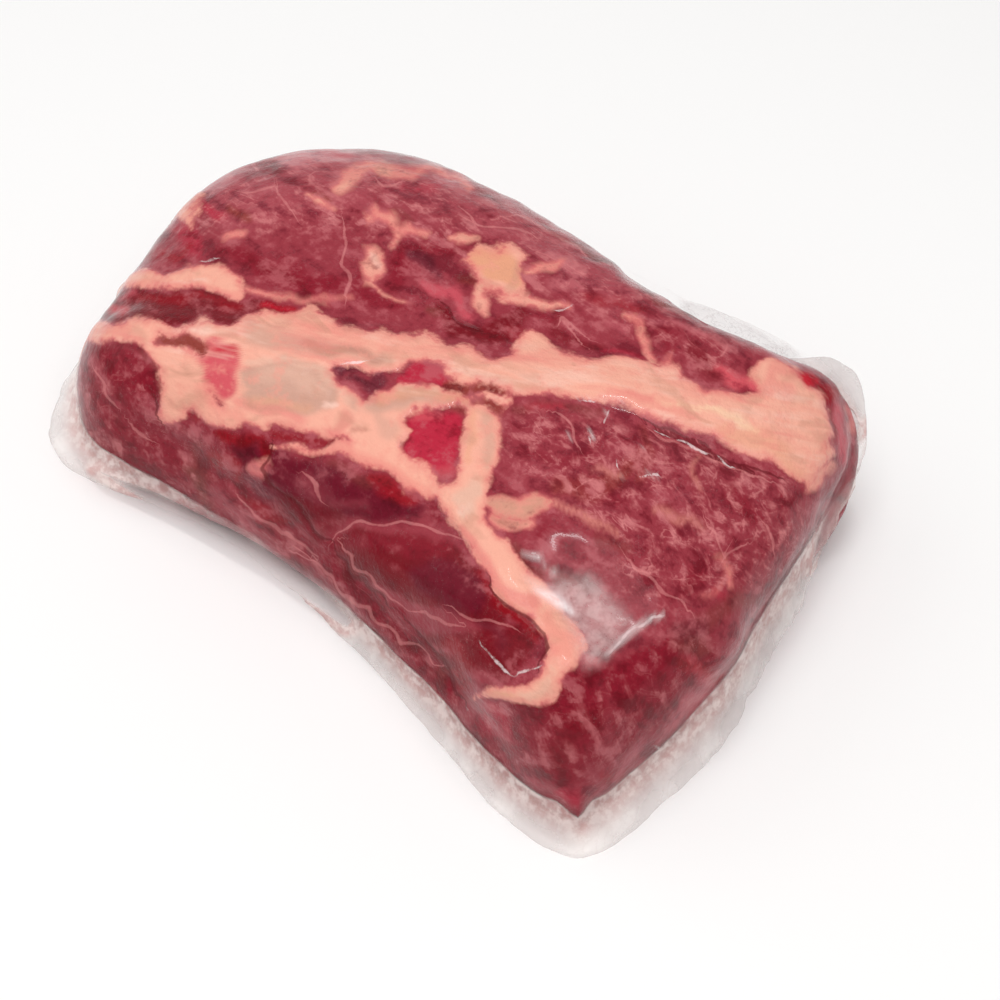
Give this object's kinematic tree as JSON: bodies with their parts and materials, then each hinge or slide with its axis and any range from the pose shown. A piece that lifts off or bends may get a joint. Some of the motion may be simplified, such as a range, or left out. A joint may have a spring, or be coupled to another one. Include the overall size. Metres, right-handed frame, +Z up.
{
  "type": "raw beef joint in a clear vacuum bag",
  "caption": "Thick boneless raw beef joint with fat bands and marbling, shrunk tight in a clear vacuum bag with a loose crinkled margin, lying flat.",
  "frame": {"origin": "on the surface that the pack lies on, under the centre of its bounding box", "axes": "+Z up from the flat underside, +X along the joint's length towards its square cut end, +Y across it"},
  "size_m": [0.3116, 0.2122, 0.0865],
  "materials": {
    "raw_beef": "moist raw beef, deep crimson muscle with cream to salmon fat, glossy through the film",
    "clear_film": "clear shrunk vacuum film, glossy, milky where it is loose and crinkled"
  },
  "bodies": {
    "root": {"beef_in_vacuum_bag": "raw_beef"}
  },
  "joints": []
}
